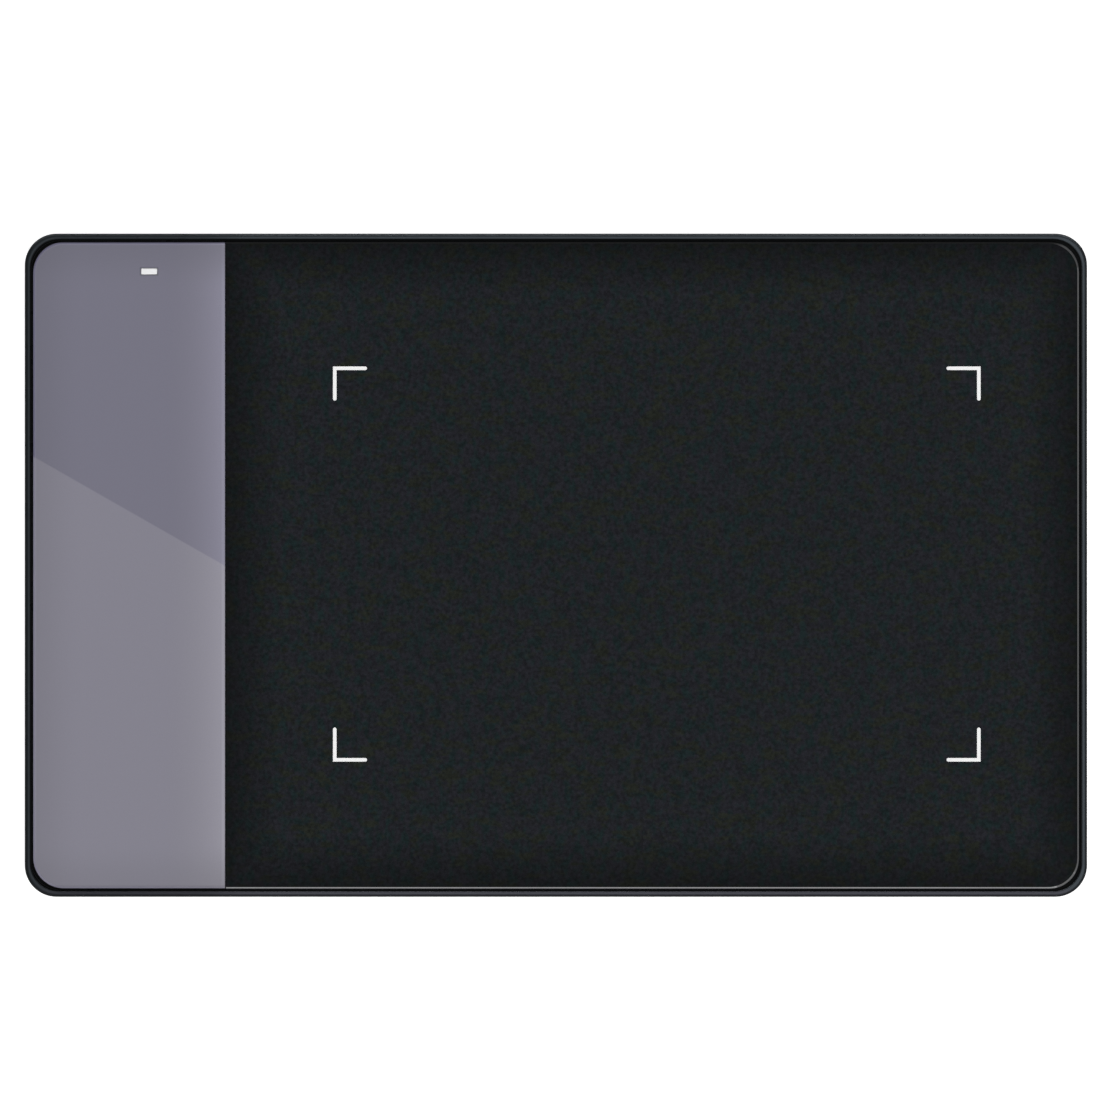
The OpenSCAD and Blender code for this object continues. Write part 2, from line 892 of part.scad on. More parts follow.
// Chips that amplify the pen's signal
module op_amps() {
    color("#222222")
        for (i = [0:amp_count - 1])
            under_board(amp_at + [0, i * amp_step])
                package(amp_size, amp_leads, wide_pitch);
}

// Regulator behind the socket
module voltage_regulator() {
    color("#222222")
        under_board(regulator_at)
            package(regulator_size, sot_leads, sot_pitch);
}

// Metal can of the clock crystal on its base
module crystal() {
    can_w = crystal_size[0] - 2 * crystal_rim;
    can_d = crystal_size[1] - 2 * crystal_rim;
    color("silver")
        under_board(crystal_at) {
            standing_box([crystal_size[0], crystal_size[1], crystal_base_t]);
            round_plate(can_w, can_d, crystal_corner_r, crystal_base_t, crystal_size[2]);
        }
}

// Surge protector beside the socket
module esd_array() {
    color("#222222")
        under_board(surge_at)
            package(surge_size, sot_leads, sot_pitch);
}

// Bead in the supply line
module ferrite_bead() {
    color("#555558")
        under_board(bead_at)
            chip(bead_size);
}

// Moulded capacitors of the supply
module tantalum_capacitors() {
    color("#c98f2e")
        for (i = [0, 1])
            under_board(tantalum_at + [0, i * tantalum_step])
                chip(tantalum_size);
}

// Small capacitors: a row by the controller and one beside each switch
module ceramic_capacitors() {
    places = concat(
        [for (i = [0:ceramic_count - 1]) ceramic_row + [i * ceramic_step, 0]],
        [for (i = [0:switch_count - 1]) switch_at + ceramic_by_switch + [0, i * switch_step]]
    );
    color("#b79a72")
        for (at = places)
            under_board(at)
                chip(ceramic_size);
}

// Small resistors: a row by the controller and one beside each amplifier
module chip_resistors() {
    places = concat(
        [for (i = [0:resistor_count - 1]) resistor_row + [i * resistor_step, 0]],
        [for (i = [0:amp_count - 1]) amp_at + resistor_by_amp + [0, i * amp_step]]
    );
    color("#2b2b2e")
        for (at = places)
            under_board(at)
                chip(resistor_size);
}

// Socket

// Metal shell with a flared lip and four solder tabs
module usb_shell() {
    color("silver")
        difference() {
            union() {
                socket_prism(0, 0, socket_l);
                socket_prism(flare, 0, flare_t);
                for (side = [-1, 1], at = [board_inset - mouth_inset + tab_l, socket_l - tab_l / 2])
                    translate([
                        socket_x + at,
                        socket_y + side * (socket_w + tab_w - root) / 2,
                        board_z - shell_t
                    ])
                        standing_box([tab_l, tab_w + root, shell_t]);
            }
            socket_prism(-shell_t, -through, socket_l + through);
        }
}

// Row of straight contacts, grown by a gap, from one distance behind the mouth to another
module contact_row(gap, x0, x1) {
    for (i = [0:contact_count - 1])
        translate([
            socket_x + x0,
            socket_y + (i - (contact_count - 1) / 2) * contact_pitch - contact_w / 2 - gap,
            socket_z - tongue_t / 2 - gap
        ])
            cube([x1 - x0, contact_w + 2 * gap, contact_t + 2 * gap]);
}

// Plastic block that closes the shell, with the contact tongue
module usb_insulator() {
    color("#151515")
        difference() {
            union() {
                socket_prism(-shell_t - mould_fit, block_x, socket_l);
                translate([socket_x + tongue_inset, socket_y - tongue_w / 2, socket_z - tongue_t / 2])
                    cube([block_x - tongue_inset + root, tongue_w, tongue_t]);
            }
            contact_row(mould_fit, tongue_inset + contact_w, socket_l + through);
        }
}

// Contacts in the tongue, with tails that rise to the board
module usb_contacts() {
    tail_x = socket_l + contact_tail / 2;
    color("#d4af37") {
        contact_row(0, tongue_inset + contact_w + mould_fit, tail_x);
        for (i = [0:contact_count - 1])
            translate([
                socket_x + tail_x,
                socket_y + (i - (contact_count - 1) / 2) * contact_pitch + contact_w / 2,
                socket_z - tongue_t / 2
            ])
                rotate([90, 0, 0])
                    linear_extrude(contact_w)
                        polygon([
                            [-root, 0],
                            [contact_t, 0],
                            [contact_t, socket_h / 2 + tongue_t / 2 - contact_t],
                            [contact_tail / 2, socket_h / 2 + tongue_t / 2 - contact_t],
                            [contact_tail / 2, socket_h / 2 + tongue_t / 2],
                            [0, socket_h / 2 + tongue_t / 2],
                            [0, contact_t],
                            [-root, contact_t]
                        ]);
    }
}

// Hardware

// Cross-head screw, standing on its head
module screw() {
    difference() {
        union() {
            cylinder(h = head_chamfer, r1 = head_d / 2 - head_chamfer, r2 = head_d / 2);
            translate([0, 0, head_chamfer])
                cylinder(h = head_h - head_chamfer, d = head_d);
            translate([0, 0, head_h - root])
                cylinder(h = screw_len + root, d = screw_d);
        }
        for (turn = [0, 90])
            rotate(turn)
                standing_box([cross_l, cross_w, cross_deep + through], -through);
    }
}

// Six screws from below
module case_screws() {
    color("#8d8f93")
        for (at = screw_places)
            translate([at[0], at[1], case_z + head_sink])
                screw();
}

// Section of a foot at its edge
module foot_section() {
    translate([foot_corner_r - foot_edge_r, foot_edge_r])
        quarter_disc(foot_edge_r, 270);
    band(0, foot_corner_r - foot_edge_r, 0, foot_edge_r);
    band(0, foot_corner_r, foot_edge_r, case_z + foot_sink);
}

// Four feet, bonded into the underside
module rubber_feet() {
    color("#2c2c2e")
        for (x = [-foot_x, foot_x], y = [-foot_y, foot_y])
            translate([x, y, 0]) {
                sweep_round(foot_w, foot_d, foot_corner_r)
                    foot_section();
                middle_block(foot_w, foot_d, foot_corner_r, 0, case_z + foot_sink);
            }
}

bottom_case();
top_cover();
drawing_sheet();
sheet_adhesive();
active_area_marks();
side_panel();
panel_adhesive();
light_guide();
sensor_board();
antenna_loops_x();
antenna_loops_y();
insulating_film();
shield_plate();
foam_pads();
status_led();
microcontroller();
analog_switches();
op_amps();
voltage_regulator();
crystal();
usb_shell();
usb_insulator();
usb_contacts();
esd_array();
ferrite_bead();
tantalum_capacitors();
ceramic_capacitors();
chip_resistors();
case_screws();
rubber_feet();
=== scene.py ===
"""Looks of a pen drawing tablet, built round its fixed frame. Metres, +X right, +Y away, +Z up."""
import math

import bmesh
import bpy
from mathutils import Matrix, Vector


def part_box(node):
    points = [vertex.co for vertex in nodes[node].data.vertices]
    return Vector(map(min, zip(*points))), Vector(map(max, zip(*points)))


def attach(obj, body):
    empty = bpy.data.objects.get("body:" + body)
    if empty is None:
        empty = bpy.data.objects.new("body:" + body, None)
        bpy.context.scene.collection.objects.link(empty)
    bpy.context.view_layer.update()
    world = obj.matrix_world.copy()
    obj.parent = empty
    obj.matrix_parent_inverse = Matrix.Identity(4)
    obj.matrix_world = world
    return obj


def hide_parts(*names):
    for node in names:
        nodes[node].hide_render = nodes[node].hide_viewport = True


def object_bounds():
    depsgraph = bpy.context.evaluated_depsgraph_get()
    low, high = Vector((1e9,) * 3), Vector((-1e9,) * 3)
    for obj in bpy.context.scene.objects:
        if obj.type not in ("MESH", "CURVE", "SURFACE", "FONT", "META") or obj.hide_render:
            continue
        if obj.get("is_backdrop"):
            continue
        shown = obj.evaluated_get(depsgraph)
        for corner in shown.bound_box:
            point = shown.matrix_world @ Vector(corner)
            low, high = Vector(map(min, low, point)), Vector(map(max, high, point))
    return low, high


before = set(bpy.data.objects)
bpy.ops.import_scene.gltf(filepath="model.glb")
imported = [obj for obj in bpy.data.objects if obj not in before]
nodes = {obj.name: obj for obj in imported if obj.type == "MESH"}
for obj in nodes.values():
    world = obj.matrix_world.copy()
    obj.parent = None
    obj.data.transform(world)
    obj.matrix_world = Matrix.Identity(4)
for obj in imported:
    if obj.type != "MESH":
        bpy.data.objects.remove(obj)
cad_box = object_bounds()
scene = bpy.context.scene

MM = 0.001

# Boxes of the pieces that the looks are fitted to
cover_low, cover_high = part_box("top_cover")
case_low, case_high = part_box("bottom_case")
sheet_low, sheet_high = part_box("drawing_sheet")
panel_low, panel_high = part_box("side_panel")
guide_low, guide_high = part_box("light_guide")
screws_low, screws_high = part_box("case_screws")
socket_low, socket_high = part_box("usb_shell")
foam_low, foam_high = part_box("foam_pads")
shield_low, shield_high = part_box("shield_plate")
feet_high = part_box("rubber_feet")[1]

# Outline, rim and face
HALF_W = cover_high.x
HALF_D = cover_high.y
CORNER_R = 5.3 * MM
RIM_W = 0.95 * MM
RIM_OUTER_R = 0.7 * MM
RIM_INNER_R = 0.2 * MM
RIM_CORNER_R = 4.8 * MM
FACE_CORNER_EASE = 0.8 * MM
SHEET_BEVEL_W = 0.4 * MM
SHEET_BEVEL_H = 0.25 * MM
PANEL_BEVEL_W = 0.3 * MM
PANEL_BEVEL_H = 0.2 * MM
WINDOW_W = 2.65 * MM
WINDOW_D = 1 * MM
WINDOW_FIT = 0.05 * MM
WINDOW_CORNER_R = 0.12 * MM

# Shells
WALL_T = 1.6 * MM
LIP_T = 0.8 * MM
LIP_H = 1 * MM
LIP_FIT = 0.1 * MM
REVEAL_H = 0.25 * MM
REVEAL_DEPTH = 0.35 * MM
BOTTOM_EDGE_R = 2 * MM
EDGE_BREAK = 0.1 * MM
LABEL_W = 62 * MM
LABEL_D = 30 * MM
LABEL_CORNER_R = 2 * MM
LABEL_SINK = 0.15 * MM
RIB_T = 0.8 * MM
RIB_H = 0.9 * MM
POST_R = 1.5 * MM

# Screws, feet and foam
HEAD_R = 1.8 * MM
HEAD_H = 1.2 * MM
COUNTERBORE_R = 2.1 * MM
SCREW_PASS_R = 1.2 * MM
SCREW_WEB = 0.8 * MM
SCREW_POST_R = 3.1 * MM
BOSS_R = 2.3 * MM
PILOT_R = 1.04 * MM
TIP_ROOM = 0.2 * MM
FOOT_W = 17 * MM
FOOT_D = 7 * MM
FOOT_CORNER_R = 2.5 * MM
FOOT_EDGE_R = 0.3 * MM
FOOT_FIT = 0.1 * MM
FOAM_W = 22 * MM
FOAM_D = 9 * MM
FOAM_CORNER_R = 1 * MM
FOAM_BULGE = 0.35 * MM

# Parts on the circuit board
LEAD_REACH = 1 * MM
LEAD_CLEAR = 0.03 * MM
CAP_SHARE = 0.2

# Opening for the socket
SOCKET_W = 7.5 * MM
SOCKET_CHAMFER = 0.8 * MM
SOCKET_FLARE = 0.25 * MM
PORT_FIT = 0.2 * MM
PORT_DEPTH = 3.1 * MM

# Heights
RIM_Z = cover_high.z
FACE_Z = sheet_high.z
CASE_Z = case_low.z
PARTING_Z = cover_low.z + LIP_H
FLOOR_Z = foam_low.z
BOARD_Z = case_high.z
DECK_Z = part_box("antenna_loops_y")[1].z
DECK_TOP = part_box("sheet_adhesive")[0].z
SEAT_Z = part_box("panel_adhesive")[0].z
HEAD_SEAT_Z = screws_low.z + HEAD_H
WEB_Z = HEAD_SEAT_Z + SCREW_WEB

# Places
SCREW_X = screws_high.x - HEAD_R
SCREW_Y = screws_high.y - HEAD_R
SCREWS = [(x, y) for x in (-SCREW_X, 0, SCREW_X) for y in (-SCREW_Y, SCREW_Y)]
POSTS = [(x, y) for x in (-HALF_W / 2, HALF_W / 2) for y in (-SCREW_Y, SCREW_Y)]
POSTS += [(x, -HALF_D / 3) for x in (-SCREW_X, SCREW_X)]
FOOT_X = feet_high.x - FOOT_W / 2
FOOT_Y = feet_high.y - FOOT_D / 2
FEET = [(x, y) for x in (-FOOT_X, FOOT_X) for y in (-FOOT_Y, FOOT_Y)]
FOAM_Y = foam_high.y - FOAM_D / 2
SHIELD_X = (shield_low.x + shield_high.x) / 2
SHIELD_W = shield_high.x - shield_low.x
SHIELD_D = shield_high.y - shield_low.y
FOAMS = [(SHIELD_X + i * SHIELD_W / 3, y) for i in (-1, 0, 1) for y in (-FOAM_Y, FOAM_Y)]
RIBS = [i * SHIELD_D * 2 / 5 for i in (-1, 0, 1)]
WINDOW_X = (guide_low.x + guide_high.x) / 2
WINDOW_Y = (guide_low.y + guide_high.y) / 2

# Panel: the slanted line between its two tones, and the painted highlight line just inside its edge
SLANT_LEFT_Y = 18.2 * MM
SLANT_RIGHT_Y = -0.1 * MM
SLANT_BLUR = 0.12 * MM
LINE_INSET = 0.37 * MM
LINE_CORE = 0.06 * MM
LINE_REACH = 0.14 * MM
# Distances over which painted shade darkens sheet and panel towards their edges, and over which the panel's
# painted sheen fades
SHEET_SHADE_REACH = 9 * MM
PANEL_SHADE_REACH = 8 * MM
PAINTED_SHEEN_FADE = 9 * MM
# Range that most values of a noise lie in
NOISE_RANGE = (0.3, 0.7)

# Fineness of the round stretches
CORNER_STEPS = 16
ARC_STEPS = 8
ROUND_STEPS = 40
SHARP_ANGLE = math.radians(30)
# Overlap that makes a cut pass right through a face, and one that roots one solid in another
THROUGH = 1 * MM
ROOT = 0.1 * MM
# Gap that is closed between the corners of a copied mesh
WELD = LEAD_CLEAR / 10
# Least upward part of the normal of a face that counts as flat
FLAT = 0.99


# Shapes

def loft(name, rings):
    """Closed solid through rings of as many points each, from its lower end to its upper end."""
    mesh = bmesh.new()
    loops = [[mesh.verts.new(point) for point in ring] for ring in rings]
    for low, high in zip(loops, loops[1:]):
        for i in range(len(low)):
            mesh.faces.new((low[i - 1], low[i], high[i], high[i - 1]))
    mesh.faces.new(loops[0][::-1])
    mesh.faces.new(loops[-1])
    return shown(name, mesh)


def shown(name, mesh):
    """Object in the scene that takes over a mesh."""
    data = bpy.data.meshes.new(name)
    mesh.to_mesh(data)
    mesh.free()
    piece = bpy.data.objects.new(name, data)
    scene.collection.objects.link(piece)
    return piece


def rounded(size, corner_r, inset, z, centre=(0, 0), left=-math.inf, right=math.inf):
    """Ring of a rounded rectangle of two half sizes, drawn in by an inset and cut off at an x."""
    ring = []
    for quarter, (side_x, side_y) in enumerate(((1, -1), (1, 1), (-1, 1), (-1, -1))):
        for step in range(CORNER_STEPS + 1):
            angle = math.pi / 2 * (quarter - 1 + step / CORNER_STEPS)
            x = side_x * (size[0] - corner_r) + (corner_r - inset) * math.cos(angle)
            y = side_y * (size[1] - corner_r) + (corner_r - inset) * math.sin(angle)
            ring.append((centre[0] + min(max(x, left), right), centre[1] + y, z))
    return ring


def arc(inset, z, r, start, end):
    """Points of a section along an arc, between two angles in degrees."""
    angles = [math.radians(start + (end - start) * i / ARC_STEPS) for i in range(ARC_STEPS + 1)]
    return [(inset + r * math.cos(a), z + r * math.sin(a)) for a in angles]


def swept(name, size, corner_r, section, **where):
    """Solid of a section of insets and heights, swept round a rounded rectangle."""
    return loft(name, [rounded(size, corner_r, inset, z, **where) for inset, z in section])


def turned(name, centre, profile):
    """Solid of radii and heights, turned about an upright axis."""
    angles = [2 * math.pi * i / ROUND_STEPS for i in range(ROUND_STEPS)]
    return loft(name, [
        [(centre[0] + r * math.cos(a), centre[1] + r * math.sin(a), z) for a in angles]
        for r, z in profile
    ])


def face_corner(half_w):
    """Gap between the rim and a plate of the face, and the plate's corner radius."""
    gap = HALF_W - RIM_W - half_w
    return gap, RIM_CORNER_R - gap + FACE_CORNER_EASE


def joined(name, pieces):
    """One object of several solids that stay apart."""
    mesh = bmesh.new()
    for piece in pieces:
        mesh.from_mesh(piece.data)
        bpy.data.objects.remove(piece)
    return shown(name, mesh)


def combine(piece, operation, others):
    """Unites a piece with other solids, or cuts them out of it."""
    tool = joined("tool", others)
    modifier = piece.modifiers.new(operation, "BOOLEAN")
    modifier.operation = operation
    modifier.solver = "EXACT"
    modifier.object = tool
    graph = bpy.context.evaluated_depsgraph_get()
    piece.data = bpy.data.meshes.new_from_object(piece.evaluated_get(graph))
    piece.modifiers.clear()
    bpy.data.objects.remove(tool)


def stand_for(piece, slot, *replaced):
    """Shades a piece, gives it its finish and lets it stand for nodes of the frame."""
    piece.data.materials.clear()
    piece.data.materials.append(looks[slot])
    piece.data.shade_smooth()
    piece.data.set_sharp_from_angle(angle=SHARP_ANGLE)
    weighted = piece.modifiers.new("weighted_normals", "WEIGHTED_NORMAL")
    weighted.keep_sharp = True
    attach(piece, "root")
    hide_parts(*replaced)


def second_finish(piece, look, chosen):
    """Gives a second finish to the chosen faces of a piece."""
    piece.data.materials.append(looks[look])
    for side in piece.data.polygons:
        if chosen(side):
            side.material_index = 1


# Finishes

class Look:
    """One procedural finish: its nodes, and the shader that they feed."""

    def __init__(self, name, **sockets):
        self.material = bpy.data.materials.new(name + "_look")
        self.material.use_nodes = True
        self.nodes = self.material.node_tree.nodes
        self.links = self.material.node_tree.links
        self.shader = self.nodes["Principled BSDF"]
        for socket, value in sockets.items():
            self.feed(socket.replace("_", " "), value)
        self.place = self.node("TexCoord").outputs["Object"]

    def node(self, kind, wires=None, **settings):
        """New node of a kind, with its settings and what its sockets take in."""
        node = self.nodes.new("ShaderNode" + kind)
        for name, value in settings.items():
            setattr(node, name, value)
        for socket, value in (wires or {}).items():
            self.wire(node, socket, value)
        return node

    def wire(self, node, socket, value):
        """Links a node's socket to another socket, or sets it to a constant."""
        if isinstance(value, bpy.types.NodeSocket):
            self.links.new(value, node.inputs[socket])
        else:
            node.inputs[socket].default_value = value

    def feed(self, socket, value):
        """Wires a socket of the shader."""
        self.wire(self.shader, socket, value)

    def axes(self):
        """Places along x, y and z."""
        return self.node("SeparateXYZ", {0: self.place}).outputs

    def stretched(self, scale):
        """Place with each axis scaled."""
        return self.node("Mapping", {"Vector": self.place, "Scale": scale}).outputs[0]

    def noise(self, size, detail=2.0, place=None):
        """Noise with lumps of a size."""
        wires = {"Vector": place or self.place, "Scale": 1 / size, "Detail": detail}
        return self.node("TexNoise", wires).outputs["Fac"]

    def span(self, value, low, high, out_low, out_high, easing="LINEAR"):
        """Maps one range to another, and holds the value beyond both ends."""
        wires = {0: value, 1: low, 2: high, 3: out_low, 4: out_high}
        return self.node("MapRange", wires, interpolation_type=easing).outputs[0]

    def grain(self, size, low, high, detail=2.0, place=None):
        """Noise with lumps of a size, mapped to a range."""
        return self.span(self.noise(size, detail, place), *NOISE_RANGE, low, high)

    def calc(self, operation, a, b=0.0):
        """Result of an operation on one or two numbers."""
        return self.node("Math", {0: a, 1: b}, operation=operation).outputs[0]

    def product(self, first, *others):
        """All the numbers, multiplied with each other."""
        for other in others:
            first = self.calc("MULTIPLY", first, other)
        return first

    def within(self, value, half):
        """Distance to the nearer end of a stretch that is centred on zero, negative outside it."""
        return self.calc("SUBTRACT", half, self.calc("ABSOLUTE", value))

    def blend(self, factor, a, b, kind="MIX"):
        """Mixes two colours."""
        wires = {0: factor, 6: a, 7: b}
        return self.node("Mix", wires, data_type="RGBA", blend_type=kind).outputs[2]

    def scaled(self, colour, factor):
        """Colour made lighter or darker by a factor."""
        wires = {0: colour, "Scale": factor}
        return self.node("VectorMath", wires, operation="SCALE").outputs[0]

    def relief(self, height, depth):
        """Raises the surface where a value is high."""
        bump = self.node("Bump", {"Height": height, "Strength": 1.0, "Distance": depth})
        self.feed("Normal", bump.outputs[0])


def rgba(red, green, blue):
    """Opaque colour."""
    return (red, green, blue, 1.0)


def mottled(name, dark, light, size, gloss, relief, **sockets):
    """Two close colours over a grain, a gloss that varies more slowly, and a fine relief. Sizes in mm."""
    look = Look(name, **sockets)
    mottle = look.grain(size * MM, 0.0, 1.0, detail=3.0)
    look.feed("Base Color", look.blend(mottle, rgba(*dark), rgba(*light)))
    look.feed("Roughness", look.grain(3 * size * MM, *gloss))
    look.relief(look.noise(relief[0] * MM, detail=3.0), relief[1] * MM)
    return look.material


def brushed(name, dark, light, along, gloss):
    """Metal with fine lines along one axis."""
    look = Look(name, Metallic=1.0)
    stretch = [1.0, 1.0, 1.0]
    stretch[along] = 0.03
    lines = look.grain(0.15 * MM, 0.0, 1.0, detail=4.0, place=look.stretched(stretch))
    look.feed("Base Color", look.blend(lines, rgba(*dark), rgba(*light)))
    look.feed("Roughness", look.span(lines, 0.0, 1.0, *gloss))
    look.relief(lines, 0.002 * MM)
    return look.material


def drawing_film():
    """Near-black matte film: fine grain, faint teal and olive flecks, and painted shade that darkens it
    towards its border.
    """
    look = Look("drawing_film", Specular_IOR_Level=0.05)
    x, y, _ = look.axes()
    to_panel = look.calc("SUBTRACT", x, sheet_low.x)
    to_right = look.calc("SUBTRACT", sheet_high.x, x)
    to_side = look.calc("MINIMUM", to_panel, to_right)
    to_border = look.calc("MINIMUM", to_side, look.within(y, sheet_high.y))
    teal = look.noise(1.4 * MM, detail=3.0, place=look.stretched((1.0, 0.6, 1.0)))
    teal = look.span(teal, 0.46, 0.62, 0.0, 1.0)
    olive = look.noise(1.5 * MM, detail=3.0, place=look.stretched((-0.6, 1.0, 1.0)))
    olive = look.span(olive, 0.51, 0.65, 0.0, 1.0)
    colour = look.blend(teal, rgba(0.0127, 0.0132, 0.0175), rgba(0.0072, 0.0149, 0.0159))
    colour = look.blend(olive, colour, rgba(0.0127, 0.0151, 0.0112))
    # Painted shade: the film's colour darkens towards its border
    painted_border_shade = look.span(to_border, 0.0, SHEET_SHADE_REACH, 0.4, 1.0)
    speckle = look.grain(0.55 * MM, 0.61, 1.36)
    look.feed("Base Color", look.scaled(colour, look.product(speckle, painted_border_shade)))
    look.feed("Roughness", look.grain(0.5 * MM, 0.5, 0.62))
    look.relief(look.noise(0.22 * MM, detail=3.0), 0.008 * MM)
    return look.material


def film_edge():
    """Polished, metallised edge of the drawing film, with painted shade that darkens it along the back."""
    look = Look("film_edge", Metallic=1.0)
    to_back = look.calc("SUBTRACT", sheet_high.y, look.axes()[1])
    mottle = look.grain(0.5 * MM, 0.0, 1.0, detail=3.0)
    colour = look.blend(mottle, rgba(0.3, 0.3, 0.305), rgba(0.34, 0.34, 0.345))
    # Painted shade: the bevel's colour darkens towards the back edge
    painted_back_shade = look.span(to_back, 0.3 * MM, 0.9 * MM, 0.16, 1.0)
    look.feed("Base Color", look.scaled(colour, painted_back_shade))
    look.feed("Roughness", look.grain(1.5 * MM, 0.06, 0.1))
    look.relief(look.noise(0.3 * MM, detail=3.0), 0.0001 * MM)
    return look.material


def painted_edge_lines(look, x, to_front, to_back, to_end):
    """Painted highlight line just inside the panel's left and back edges, and a painted shadow line along
    its back edge.
    """
    _, corner_r = face_corner(-panel_low.x)
    aside = look.calc("MAXIMUM", look.calc("SUBTRACT", corner_r + panel_low.x, x), 0.0)
    away = look.calc("MAXIMUM", look.calc("SUBTRACT", corner_r, to_end), 0.0)
    squares = look.calc("ADD", look.product(aside, aside), look.product(away, away))
    off_line = look.calc("SUBTRACT", look.calc("SQRT", squares), corner_r - LINE_INSET)
    core = look.span(look.calc("ABSOLUTE", off_line), LINE_CORE, LINE_REACH, 1.0, 0.0)
    # The painted highlight fades in from the front and is stronger along the back
    rise = look.span(to_front, 2 * MM, 8 * MM, 0.0, 0.18)
    back_gain = look.span(to_back, 1 * MM, 2 * MM, 1.6, 1.0)
    painted_glint = look.calc("ADD", look.product(core, rise, back_gain), 1.0)
    # Painted shadow line along the back edge
    dark = look.span(to_back, 0.05 * MM, 0.2 * MM, 0.35, 1.0)
    return look.product(painted_glint, dark)


def window_line(look, x, y):
    """Dark line round the light window."""
    beside = look.within(look.calc("SUBTRACT", x, WINDOW_X), WINDOW_W / 2)
    behind = look.within(look.calc("SUBTRACT", y, WINDOW_Y), WINDOW_D / 2)
    return look.span(look.calc("MINIMUM", beside, behind), -0.3 * MM, -0.1 * MM, 1.0, 0.62)


def gloss_panel(name, highlight_gain, gloss):
    """Clear glossy panel over violet-grey in two tones that meet along a slanted line, with painted shade, a
    painted sheen and painted highlight lines.
    """
    look = Look(name, IOR=1.49, Specular_IOR_Level=gloss)
    x, y, _ = look.axes()
    across = look.span(x, panel_low.x, panel_high.x, 0.0, 1.0)
    to_sheet = look.calc("SUBTRACT", panel_high.x, x)
    to_front = look.calc("SUBTRACT", y, panel_low.y)
    to_back = look.calc("SUBTRACT", panel_high.y, y)
    to_end = look.within(y, panel_high.y)
    # Two tones, a little warmer beside the sheet
    slant_y = look.span(x, panel_low.x, panel_high.x, SLANT_LEFT_Y, SLANT_RIGHT_Y)
    tone = look.span(look.calc("SUBTRACT", slant_y, y), -SLANT_BLUR, SLANT_BLUR, 0.0, 1.0)
    colour = look.blend(tone, rgba(0.1217, 0.1164, 0.1712), rgba(0.1768, 0.1695, 0.2199))
    near_sheet = look.span(across, 0.69, 1.0, 0.0, 1.0)
    colour = look.blend(near_sheet, colour, rgba(1.0, 1.0, 0.94), "MULTIPLY")
    # Painted shade that darkens the left edge and the ends, and a painted sheen that grows towards the sheet
    # and ends in a painted highlight along that edge
    # Painted shade: darker towards the left edge and towards the front and back ends
    rise = look.span(across, -0.1, 0.27, 0.8 * highlight_gain, 1.02 * highlight_gain, "SMOOTHSTEP")
    rise = look.product(rise, look.span(to_end, 0.0, PANEL_SHADE_REACH, 0.86, 1.0, "SMOOTHSTEP"))
    # Painted sheen that grows towards the sheet
    painted_sheen = look.product(near_sheet, near_sheet, look.span(tone, 0.0, 1.0, 0.64, 0.43))
    # Painted highlight: a lighter lip along the edge beside the sheet
    lip = look.span(to_sheet, 0.5 * MM, 0.66 * MM, 0.19, 0.0)
    painted_sheen_fade = look.span(to_end, 0.0, PAINTED_SHEEN_FADE, 0.45, 1.0, "SMOOTHSTEP")
    painted_sheen = look.product(look.calc("ADD", painted_sheen, lip), painted_sheen_fade)
    # Painted shade along the front edge and beside the sheet, painted highlight and shadow lines along the
    # left and back edges, a dark line round the window, and speckle
    # Painted shade along the front edge
    painted_front_shade = look.span(to_front, 0.25 * MM, 0.6 * MM, 0.76, 1.0)
    # Painted shade over the last fifth of a millimetre beside the sheet
    painted_sheet_side_shade = look.span(to_sheet, 0.0, 0.2 * MM, 0.6, 1.0)
    lines = look.product(painted_edge_lines(look, x, to_front, to_back, to_end), window_line(look, x, y))
    speckle = look.grain(0.2 * MM, 0.98, 1.02)
    shade = look.product(look.calc("ADD", rise, painted_sheen), painted_front_shade, painted_sheet_side_shade, lines, speckle)
    look.feed("Base Color", look.scaled(colour, shade))
    look.feed("Roughness", look.grain(12 * MM, 0.05, 0.065, detail=4.0))
    look.relief(look.noise(20 * MM, detail=0.0), 0.001 * MM)
    return look.material


def case_plastic():
    """Satin black plastic with a fine spark-eroded grain; painted shade dims its highlight beside the panel,
    and a painted violet tint colours its highlight at the front.
    """
    look = Look("case_plastic", Specular_IOR_Level=0.51)
    x, y, _ = look.axes()
    mottle = look.grain(1.2 * MM, 0.0, 1.0, detail=3.0)
    look.feed("Base Color", look.blend(mottle, rgba(0.0062, 0.0074, 0.0082), rgba(0.0084, 0.0096, 0.0106)))
    look.feed("Roughness", look.grain(3.6 * MM, 0.26, 0.33))
    # Painted violet tint in the highlight along the front
    front = look.span(y, cover_low.y + 1 * MM, cover_low.y + 1.6 * MM, 1.0, 0.0)
    tint = look.blend(front, rgba(0.68, 0.8, 0.91), rgba(0.81, 0.81, 1.0))
    # Painted shade: weaker highlight on the rim beside the panel
    sheen = look.span(x, panel_high.x - 6 * MM, panel_high.x + 6 * MM, 0.5, 1.0, "SMOOTHSTEP")
    look.feed("Specular Tint", look.scaled(tint, sheen))
    look.relief(look.noise(0.14 * MM, detail=3.0), 0.003 * MM)
    return look.material


def circuit_board():
    """Green solder mask over fine parallel tracks."""
    look = Look("circuit_board", Coat_Weight=0.2)
    wires = {"Vector": look.place, "Scale": 1 / (6 * MM), "Distortion": 1.5, "Detail": 1.0}
    tracks = look.span(look.node("TexWave", wires).outputs["Fac"], 0.45, 0.55, 0.0, 1.0)
    look.feed("Base Color", look.blend(tracks, rgba(0.012, 0.075, 0.035), rgba(0.02, 0.13, 0.06)))
    look.feed("Roughness", look.grain(1 * MM, 0.3, 0.42))
    look.relief(tracks, 0.02 * MM)
    return look.material


